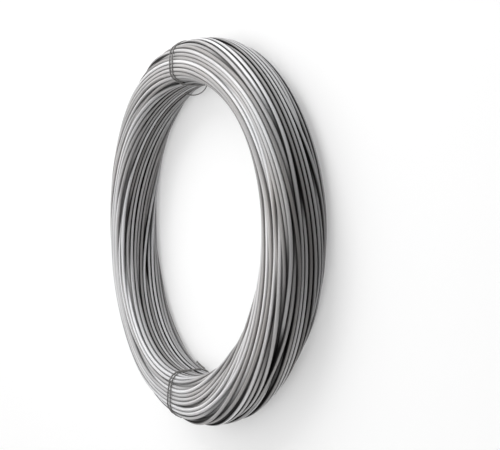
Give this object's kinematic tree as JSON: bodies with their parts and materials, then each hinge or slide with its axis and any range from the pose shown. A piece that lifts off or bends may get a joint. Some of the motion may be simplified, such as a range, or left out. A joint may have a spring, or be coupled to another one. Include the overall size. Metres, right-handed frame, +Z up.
{
  "type": "coil of welding filler wire",
  "caption": "Round tied coil of drawn steel welding filler wire with an open bore, lying on its end.",
  "frame": {"origin": "on the coil's axis, at the lower end that it lies on", "axes": "+Z up, along the coil's axis; +X towards the side that the picture is taken from"},
  "size_m": [0.4, 0.4, 0.05],
  "materials": {
    "filler_wire": "dull drawn steel",
    "binding_wire": "dark annealed steel"
  },
  "bodies": {
    "root": {"wire_coil": "filler_wire", "tie_wire_1": "binding_wire", "tie_wire_2": "binding_wire"}
  },
  "joints": []
}
